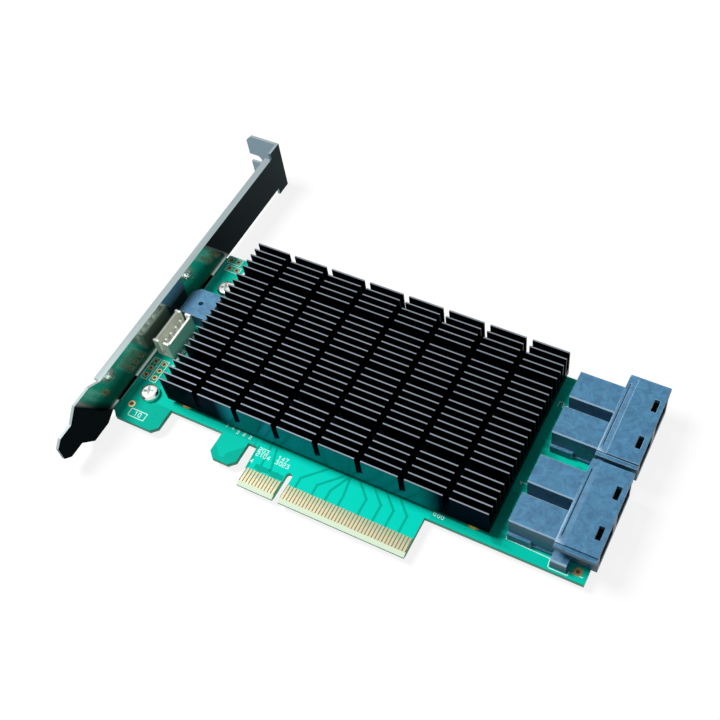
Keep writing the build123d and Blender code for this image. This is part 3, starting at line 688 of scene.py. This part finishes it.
def grained(name, tones, grain, roughness, relief=MOULD_RELIEF, strength=MOULD_STRENGTH):
    """Moulded, pressed or fired material: one fine noise sets both its colour and its relief.

    The grains of these are finer than 0.1 mm and are drawn a few times coarser so that they show.
    """
    made, tree, shader, place = start_material(name, {"Roughness": roughness})
    noise = add(tree, "TexNoise", {"Vector": place, "Scale": 1 / grain, "Detail": SOFT_DETAIL})
    colour = add(tree, "Mix", {0: noise, 6: tones[0], 7: tones[1]}, data_type="RGBA")
    bumps = add(tree, "Bump", {"Height": noise, "Distance": relief, "Strength": strength})
    join(tree, shader, {"Base Color": colour, "Normal": bumps})
    return made


dress("heatsink_spacers", stained_plate("turned_brass", BRASS_PALE, BRASS_STAIN, BRASS_ROUGHNESS))
package = grained("epoxy_package", EPOXY, EPOXY_GRAIN, EPOXY_ROUGHNESS)
for name in ("switch_chip", "controller_chips", "flash_chips", "regulator_chips"):
    dress(name, package)
dress("thermal_pads", grained("silicone_gap_pad", SILICONE, SILICONE_GRAIN, SILICONE_ROUGHNESS))
dress("power_inductors", grained("pressed_ferrite", FERRITE, FERRITE_GRAIN, FERRITE_ROUGHNESS))
for name, finish, tones in (("ceramic_capacitors", "fired_barium_titanate", TITANATE),
                            ("chip_resistors", "tinned_alumina", ALUMINA)):
    dress(name, grained(finish, tones, CERAMIC_GRAIN, CERAMIC_ROUGHNESS, CERAMIC_RELIEF, CERAMIC_STRENGTH))


# White header: a natural nylon shroud moulded round four tinned square pins and soldered through
# the board.
NYLON = ("#DCE0D3", "#ECEFE4")
NYLON_FLOW = 1.2 * MM
NYLON_ROUGHNESS = 0.42
NYLON_EDGE = 0.15 * MM
TIN = ("#B9BDBE", "#D2D5D4")
TIN_GRAIN = 0.4 * MM
TIN_ROUGHNESS = 0.3
MERGE_GAP = 0.001 * MM
FLAT_ANGLE = radians(1)
SHARP_ANGLE = radians(30)
EDGE_SEGMENTS = 2


def softened(name, radius, material):
    """A copy of a node with its edges rounded to the given radius, as its mould leaves them.

    Faces in one plane are joined first, and then each edge sharper than 30 degrees is bevelled.
    """
    mesh = nodes[name].data.copy()
    work = bmesh.new()
    work.from_mesh(mesh)
    bmesh.ops.remove_doubles(work, verts=work.verts, dist=MERGE_GAP)
    bmesh.ops.dissolve_limit(work, angle_limit=FLAT_ANGLE, verts=work.verts, edges=work.edges)
    work.to_mesh(mesh)
    work.free()
    mesh.materials.clear()
    mesh.materials.append(material)
    mesh.shade_smooth()
    mesh.set_sharp_from_angle(angle=SHARP_ANGLE)
    made = bpy.data.objects.new(name + "_moulded", mesh)
    bpy.context.scene.collection.objects.link(made)
    edge = made.modifiers.new("edges", "BEVEL")
    edge.width = radius
    edge.segments = EDGE_SEGMENTS
    edge.limit_method = "ANGLE"
    edge.angle_limit = SHARP_ANGLE
    edge.use_clamp_overlap = True
    edge.harden_normals = True
    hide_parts(name)
    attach(made, "root")
    return made


softened("header_housing", NYLON_EDGE, grained("natural_nylon", NYLON, NYLON_FLOW, NYLON_ROUGHNESS))
dress("header_pins", grained("matt_tin_plate", TIN, TIN_GRAIN, TIN_ROUGHNESS))


# Buzzer: a square sounder with one cut corner and a small hole. It is moulded in the same slate
# blue compound as the storage ports, whose sockets are painted in shade inside.
SLATE_LOW = "#31668A"
SLATE_HIGH = "#4686AC"
SLATE_FIBRE_AND_SHADE = "#1B3546"
SLATE_EDGE_HIGHLIGHT = "#B4D2E2"
SOCKET_SHADE_BLACK = "#04070A"
SLATE_ROUGHNESS = 0.42
BUZZER_EDGE = 0.25 * MM
FLOW_SIZE = 2.6 * MM
FLOW_DETAIL = 6.0
FLOW_ROUGHNESS = 0.7
FLOW_TWIST = 1.0
FLOW_SPLIT = (0.38, 0.62)
FIBRE_SIZE = 0.25 * MM
FIBRE_DETAIL = 2.0
FIBRE_SHARE = 0.35
FIBRE_RELIEF = 0.03 * MM
FIBRE_STRENGTH = 0.5
UPRIGHT_NORMAL = (0.5, 0.2)
UPRIGHT_SHADE_SHARE = 0.5
ROUNDED_NORMAL = (0.98, 0.8)
EDGE_HIGHLIGHT_SHARE = 0.55
SOCKET_DEEP_X = (75.35 * MM, 85.2 * MM)
SOCKET_DEEP_Z = (1.0 * MM, 8.75 * MM)
SOCKET_DEEP_Y = (-1.0 * MM, 11.2 * MM)
PORTS_MIDDLE = 42.675 * MM
PORTS_HALF_STEP = 14.225 * MM


def slate_compound():
    """Glass-filled moulding compound: blue-grey, marbled by its flow, with a soft satin skin.

    Upright sides carry painted shade, rounded edges a pale painted highlight, and the sockets' inside
    painted shade: there the distance from each port's middle, | |y - middle| - half step |, is less than
    half a port.
    The fibres are about 0.01 mm thick and are drawn 0.25 mm wide so that they show.
    """
    made, tree, shader, place = start_material("slate_liquid_crystal_polymer", {"Roughness": SLATE_ROUGHNESS})
    cloud = add(tree, "TexNoise", {"Vector": place, "Scale": 1 / FLOW_SIZE, "Detail": FLOW_DETAIL,
                                   "Roughness": FLOW_ROUGHNESS, "Distortion": FLOW_TWIST})
    fibre = add(tree, "TexNoise", {"Vector": place, "Scale": 1 / FIBRE_SIZE, "Detail": FIBRE_DETAIL})
    flow = add(tree, "MapRange", {"Value": cloud, "From Min": FLOW_SPLIT[0], "From Max": FLOW_SPLIT[1]})
    colour = add(tree, "Mix", {0: flow, 6: SLATE_LOW, 7: SLATE_HIGH}, data_type="RGBA")
    share = add(tree, "Math", {0: fibre, 1: FIBRE_SHARE}, operation="MULTIPLY")
    colour = add(tree, "Mix", {0: share, 6: colour, 7: SLATE_FIBRE_AND_SHADE}, data_type="RGBA")

    normal = add(tree, "NewGeometry").outputs["Normal"]
    normal = add(tree, "VectorMath", {0: normal}, operation="ABSOLUTE")
    nx, ny, nz = add(tree, "SeparateXYZ", {0: normal}).outputs
    # Painted shade on upright sides.
    upright = add(tree, "MapRange",
                  {"Value": nz, "From Min": UPRIGHT_NORMAL[0], "From Max": UPRIGHT_NORMAL[1]})
    share = add(tree, "Math", {0: upright, 1: UPRIGHT_SHADE_SHARE}, operation="MULTIPLY")
    colour = add(tree, "Mix", {0: share, 6: colour, 7: SLATE_FIBRE_AND_SHADE}, data_type="RGBA")
    # Painted highlight: a pale tone on the rounded edges.
    square = add(tree, "Math", {0: nx, 1: ny}, operation="MAXIMUM")
    square = add(tree, "Math", {0: square, 1: nz}, operation="MAXIMUM")
    rounded = add(tree, "MapRange",
                  {"Value": square, "From Min": ROUNDED_NORMAL[0], "From Max": ROUNDED_NORMAL[1]})
    share = add(tree, "Math", {0: rounded, 1: EDGE_HIGHLIGHT_SHARE}, operation="MULTIPLY")
    colour = add(tree, "Mix", {0: share, 6: colour, 7: SLATE_EDGE_HIGHLIGHT}, data_type="RGBA")

    # Painted shade: the inside of the sockets is drawn near black.
    x, y, z = add(tree, "SeparateXYZ", {0: place}).outputs
    from_middle = add(tree, "Math", {0: y, 1: PORTS_MIDDLE}, operation="SUBTRACT")
    from_middle = add(tree, "Math", {0: from_middle}, operation="ABSOLUTE")
    from_port = add(tree, "Math", {0: from_middle, 1: PORTS_HALF_STEP}, operation="SUBTRACT")
    from_port = add(tree, "Math", {0: from_port}, operation="ABSOLUTE")
    socket_shade = add(tree, "Math", {0: within(tree, x, *SOCKET_DEEP_X), 1: within(tree, from_port, *SOCKET_DEEP_Y)},
               operation="MULTIPLY")
    socket_shade = add(tree, "Math", {0: socket_shade, 1: within(tree, z, *SOCKET_DEEP_Z)}, operation="MULTIPLY")
    colour = add(tree, "Mix", {0: socket_shade, 6: colour, 7: SOCKET_SHADE_BLACK}, data_type="RGBA")
    relief = add(tree, "Bump", {"Height": fibre, "Distance": FIBRE_RELIEF, "Strength": FIBRE_STRENGTH})
    join(tree, shader, {"Base Color": colour, "Normal": relief})
    return made


slate = slate_compound()
softened("buzzer", BUZZER_EDGE, slate)


# Storage ports: each has a front shroud with two sockets and a rear moulding that holds the
# contacts, both in the slate compound and pressed into the board; the contacts are gold plated.
PORT_EDGE = 0.2 * MM

for number in (1, 2):
    softened(f"port_{number}_shroud", PORT_EDGE, slate)
    softened(f"port_{number}_contact_case", PORT_EDGE, slate)
    dress(f"port_{number}_contacts", contact_gold)


# Studio: a white floor that keeps a soft shadow, one large soft lamp and the camera at the angle of
# the product photograph.
PAPER_WHITE = "#F8F8F8"
PAPER_GREY = "#6E7072"
PAINTED_FLANGE_SHADOW = "#1C2422"
PURE_WHITE = "#FFFFFF"
SKY_WHITE = "#F2F4F6"
SKY_STRENGTH = 0.25
FLOOR_HALF = 3.0
FLOOR_GLOW = 0.86
UNDER_FLANGE_X = (-62.2 * MM, -57.5 * MM)
UNDER_FLANGE_Y = (7.0 * MM, 70.0 * MM)
LAMP_PLACE = (-0.5, -0.02, 0.95)
LAMP_WIDTH = 0.35
LAMP_POWER = 13.5
CAMERA_AIM = (9.33 * MM, 56.6 * MM, 0.0)
CAMERA_DISTANCE = 311.7 * MM
CAMERA_AZIMUTH = 33.61
CAMERA_ELEVATION = 54.58
CAMERA_ROLL = -8.05
CAMERA_LENS = 53.4
CAMERA_SHIFT = (-0.0556, -0.0083)


def white_seen(tree):
    """1 for camera, mirror and glass rays, which see the backdrop as plain white."""
    path = add(tree, "LightPath").outputs
    most = add(tree, "Math", {0: path["Is Camera Ray"], 1: path["Is Glossy Ray"]}, operation="MAXIMUM")
    return add(tree, "Math", {0: most, 1: path["Is Transmission Ray"]}, operation="MAXIMUM")


def floor_paper():
    """Matt backdrop paper: plain white where it is looked at, and grey to the light it throws back.

    Under the bracket's flange a dark patch of painted shadow is laid, which neither glows nor shows white.
    """
    made = bpy.data.materials.new("white_backdrop_paper")
    made.use_nodes = True
    tree = made.node_tree
    tree.nodes.clear()
    seen = white_seen(tree)
    place = add(tree, "TexCoord").outputs["Object"]
    x, y, _ = add(tree, "SeparateXYZ", {0: place}).outputs
    # Painted shadow: a dark patch of floor under the bracket's flange.
    flange_shadow = add(tree, "Math", {0: within(tree, x, *UNDER_FLANGE_X), 1: within(tree, y, *UNDER_FLANGE_Y)},
                operation="MULTIPLY")
    paper = add(tree, "Mix", {0: seen, 6: PAPER_GREY, 7: PAPER_WHITE}, data_type="RGBA")
    paper = add(tree, "Mix", {0: flange_shadow, 6: paper, 7: PAINTED_FLANGE_SHADOW}, data_type="RGBA")
    matt = add(tree, "BsdfDiffuse", {"Color": paper})
    glow = add(tree, "Emission", {"Color": PURE_WHITE, "Strength": 1.0})
    open_floor = add(tree, "Math", {0: 1.0, 1: flange_shadow}, operation="SUBTRACT")
    share = add(tree, "Math", {0: seen, 1: FLOOR_GLOW}, operation="MULTIPLY")
    share = add(tree, "Math", {0: share, 1: open_floor}, operation="MULTIPLY")
    both = add(tree, "MixShader", {0: share, 1: matt, 2: glow})
    add(tree, "OutputMaterial", {0: both})
    return made


floor_mesh = bpy.data.meshes.new("floor")
floor_corners = np.array([(-1, -1, 0), (1, -1, 0), (1, 1, 0), (-1, 1, 0)]) * FLOOR_HALF
floor_corners = floor_corners + (0, 0, cad_low.z)
floor_mesh.from_pydata(floor_corners.tolist(), [], [(0, 1, 2, 3)])
floor_mesh.materials.append(floor_paper())
floor = bpy.data.objects.new("floor", floor_mesh)
bpy.context.scene.collection.objects.link(floor)

# The lamp is a square softbox that faces the card.
lamp_data = bpy.data.lights.new("key_softbox", "AREA")
lamp_data.size = LAMP_WIDTH
lamp_data.energy = LAMP_POWER
lamp = bpy.data.objects.new("key_softbox", lamp_data)
lamp.location = LAMP_PLACE
lamp.rotation_euler = (Vector(CAMERA_AIM) - Vector(LAMP_PLACE)).to_track_quat("-Z", "Y").to_euler()
bpy.context.scene.collection.objects.link(lamp)

world = bpy.data.worlds.new("studio")
world.use_nodes = True
sky = world.node_tree
sky.nodes.clear()
dim = add(sky, "Background", {"Color": SKY_WHITE, "Strength": SKY_STRENGTH})
white = add(sky, "Background", {"Color": PURE_WHITE, "Strength": 1.0})
both = add(sky, "MixShader", {0: white_seen(sky), 1: dim, 2: white})
add(sky, "OutputWorld", {0: both})
bpy.context.scene.world = world

# The camera stands back from its aim by the azimuth and elevation, and rolls about its line of sight.
camera_data = bpy.data.cameras.new("camera")
camera_data.lens = CAMERA_LENS
camera_data.shift_x, camera_data.shift_y = CAMERA_SHIFT
camera = bpy.data.objects.new("camera", camera_data)
bpy.context.scene.collection.objects.link(camera)
bpy.context.scene.camera = camera
turn, lift, roll = radians(CAMERA_AZIMUTH), radians(CAMERA_ELEVATION), radians(CAMERA_ROLL)
back = Vector((sin(turn) * cos(lift), -cos(turn) * cos(lift), sin(lift)))
level = Vector((cos(turn), sin(turn), 0))
upright = back.cross(level)
right = level * cos(roll) + upright * sin(roll)
top = upright * cos(roll) - level * sin(roll)
camera.matrix_world = Matrix((right, top, back)).transposed().to_4x4()
camera.location = Vector(CAMERA_AIM) + back * CAMERA_DISTANCE
bpy.context.scene.view_settings.view_transform = "Standard"
